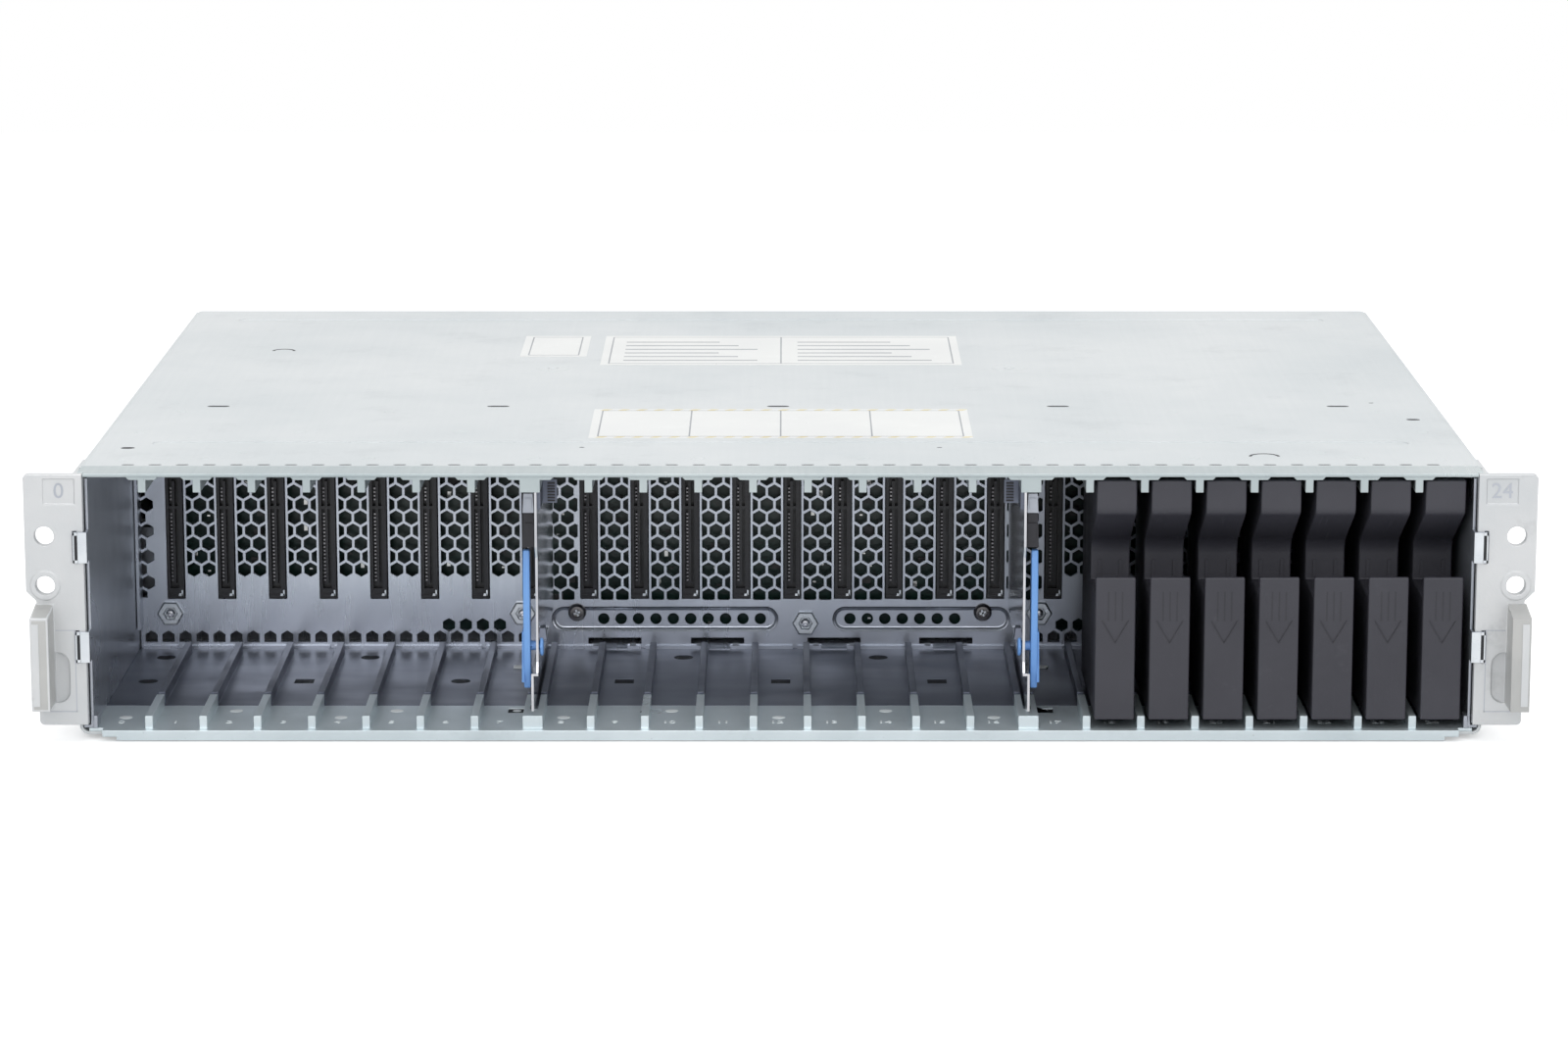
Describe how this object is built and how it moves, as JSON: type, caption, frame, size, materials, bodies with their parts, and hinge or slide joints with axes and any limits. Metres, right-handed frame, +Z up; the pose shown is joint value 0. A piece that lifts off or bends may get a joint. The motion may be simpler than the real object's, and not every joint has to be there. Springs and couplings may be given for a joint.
{
  "type": "disk shelf enclosure",
  "caption": "Two-unit rack disk shelf with upright drive slots, honeycomb midplane shield, slot fillers and rear power and link modules.",
  "frame": {"origin": "centre of the footprint on the resting plane, halfway between the pull bars' front and the lever tips at the rear", "axes": "+X to the right seen from the front, +Y towards the rear of the rack, +Z up"},
  "size_m": [0.4774, 0.3556, 0.0864],
  "materials": {
    "galvanised": "galvanised sheet, fine spangle, satin",
    "guide_steel": "galvanised sheet, satin",
    "shield_steel": "galvanised sheet, satin",
    "cast_grey": "fine textured grey paint on a casting",
    "bright_steel": "bright stainless sheet",
    "screw_steel": "dark zinc",
    "board_green": "solder-masked circuit board",
    "connector_black": "matt moulded plastic",
    "latch_blue": "satin blue plastic",
    "filler_black": "fine textured dark grey plastic",
    "lever_grey": "satin plastic",
    "fan_black": "satin plastic",
    "port_steel": "tin-plated sheet"
  },
  "bodies": {
    "chassis": {"shell_base": "galvanised", "top_cover": "galvanised", "ceiling_guide": "guide_steel", "front_floor": "guide_steel", "main_floor": "guide_steel", "side_liner_left": "guide_steel", "side_liner_right": "guide_steel", "ear_left": "cast_grey", "ear_right": "cast_grey", "ear_screws": "screw_steel", "midplane_shield": "shield_steel", "midplane_board": "board_green", "drive_connectors": "connector_black", "shield_nuts": "screw_steel", "board_screws": "screw_steel", "module_connectors": "connector_black", "divider_left": "bright_steel", "divider_right": "bright_steel", "bay_wall": "galvanised", "module_shelves": "galvanised"},
    "filler_18": {"slot_filler_18": "filler_black"},
    "filler_19": {"slot_filler_19": "filler_black"},
    "filler_20": {"slot_filler_20": "filler_black"},
    "filler_21": {"slot_filler_21": "filler_black"},
    "filler_22": {"slot_filler_22": "filler_black"},
    "filler_23": {"slot_filler_23": "filler_black"},
    "filler_24": {"slot_filler_24": "filler_black"},
    "latch_left": {"divider_latch_left": "latch_blue"},
    "latch_right": {"divider_latch_right": "latch_blue"},
    "power_module_left": {"power_case_left": "galvanised", "power_face_left": "galvanised", "fan_frames_left": "fan_black", "power_inlet_left": "fan_black"},
    "power_lever_left": {"power_lever_left": "lever_grey"},
    "fan_left_1": {"fan_rotor_left_1": "fan_black"},
    "fan_left_2": {"fan_rotor_left_2": "fan_black"},
    "link_module_left": {"link_tray_left": "galvanised", "link_board_left": "board_green", "link_ports_left": "port_steel"},
    "link_lever_left": {"link_lever_left": "lever_grey"},
    "power_module_right": {"power_case_right": "galvanised", "power_face_right": "galvanised", "fan_frames_right": "fan_black", "power_inlet_right": "fan_black"},
    "power_lever_right": {"power_lever_right": "lever_grey"},
    "fan_right_1": {"fan_rotor_right_1": "fan_black"},
    "fan_right_2": {"fan_rotor_right_2": "fan_black"},
    "link_module_right": {"link_tray_right": "galvanised", "link_board_right": "board_green", "link_ports_right": "port_steel"},
    "link_lever_right": {"link_lever_right": "lever_grey"}
  },
  "joints": [
    {"name": "filler_18_slide", "type": "slide", "parent": "chassis", "child": "filler_18", "axis": [0, -1, 0], "range_m": [0, 0.08]},
    {"name": "filler_19_slide", "type": "slide", "parent": "chassis", "child": "filler_19", "axis": [0, -1, 0], "range_m": [0, 0.08]},
    {"name": "filler_20_slide", "type": "slide", "parent": "chassis", "child": "filler_20", "axis": [0, -1, 0], "range_m": [0, 0.08]},
    {"name": "filler_21_slide", "type": "slide", "parent": "chassis", "child": "filler_21", "axis": [0, -1, 0], "range_m": [0, 0.08]},
    {"name": "filler_22_slide", "type": "slide", "parent": "chassis", "child": "filler_22", "axis": [0, -1, 0], "range_m": [0, 0.08]},
    {"name": "filler_23_slide", "type": "slide", "parent": "chassis", "child": "filler_23", "axis": [0, -1, 0], "range_m": [0, 0.08]},
    {"name": "filler_24_slide", "type": "slide", "parent": "chassis", "child": "filler_24", "axis": [0, -1, 0], "range_m": [0, 0.08]},
    {"name": "divider_latch_left_swing", "type": "hinge", "parent": "chassis", "child": "latch_left", "pos_m": [-0.08055, -0.1543, 0.0285], "axis": [1, 0, 0], "range_deg": [0, 25]},
    {"name": "divider_latch_right_swing", "type": "hinge", "parent": "chassis", "child": "latch_right", "pos_m": [0.08055, -0.1543, 0.0285], "axis": [1, 0, 0], "range_deg": [0, 25]},
    {"name": "power_module_left_slide", "type": "slide", "parent": "chassis", "child": "power_module_left", "axis": [0, 1, 0], "range_m": [0, 0.21]},
    {"name": "power_lever_left_swing", "type": "hinge", "parent": "power_module_left", "child": "power_lever_left", "pos_m": [-0.0104, 0.1696, 0.0075], "axis": [0, 0, -1], "range_deg": [0, 80]},
    {"name": "fan_left_1_spin", "type": "hinge", "parent": "power_module_left", "child": "fan_left_1", "pos_m": [-0.19665, 0.1482, 0.02235], "axis": [0, 1, 0], "continuous": true},
    {"name": "fan_left_2_spin", "type": "hinge", "parent": "power_module_left", "child": "fan_left_2", "pos_m": [-0.15465, 0.1482, 0.02235], "axis": [0, 1, 0], "continuous": true},
    {"name": "link_module_left_slide", "type": "slide", "parent": "chassis", "child": "link_module_left", "axis": [0, 1, 0], "range_m": [0, 0.21]},
    {"name": "link_lever_left_swing", "type": "hinge", "parent": "link_module_left", "child": "link_lever_left", "pos_m": [-0.0104, 0.1696, 0.0471], "axis": [0, 0, -1], "range_deg": [0, 80]},
    {"name": "power_module_right_slide", "type": "slide", "parent": "chassis", "child": "power_module_right", "axis": [0, 1, 0], "range_m": [0, 0.21]},
    {"name": "power_lever_right_swing", "type": "hinge", "parent": "power_module_right", "child": "power_lever_right", "pos_m": [0.0104, 0.1696, 0.0075], "axis": [0, 0, 1], "range_deg": [0, 80]},
    {"name": "fan_right_1_spin", "type": "hinge", "parent": "power_module_right", "child": "fan_right_1", "pos_m": [0.19665, 0.1482, 0.02235], "axis": [0, 1, 0], "continuous": true},
    {"name": "fan_right_2_spin", "type": "hinge", "parent": "power_module_right", "child": "fan_right_2", "pos_m": [0.15465, 0.1482, 0.02235], "axis": [0, 1, 0], "continuous": true},
    {"name": "link_module_right_slide", "type": "slide", "parent": "chassis", "child": "link_module_right", "axis": [0, 1, 0], "range_m": [0, 0.21]},
    {"name": "link_lever_right_swing", "type": "hinge", "parent": "link_module_right", "child": "link_lever_right", "pos_m": [0.0104, 0.1696, 0.0471], "axis": [0, 0, 1], "range_deg": [0, 80]}
  ]
}
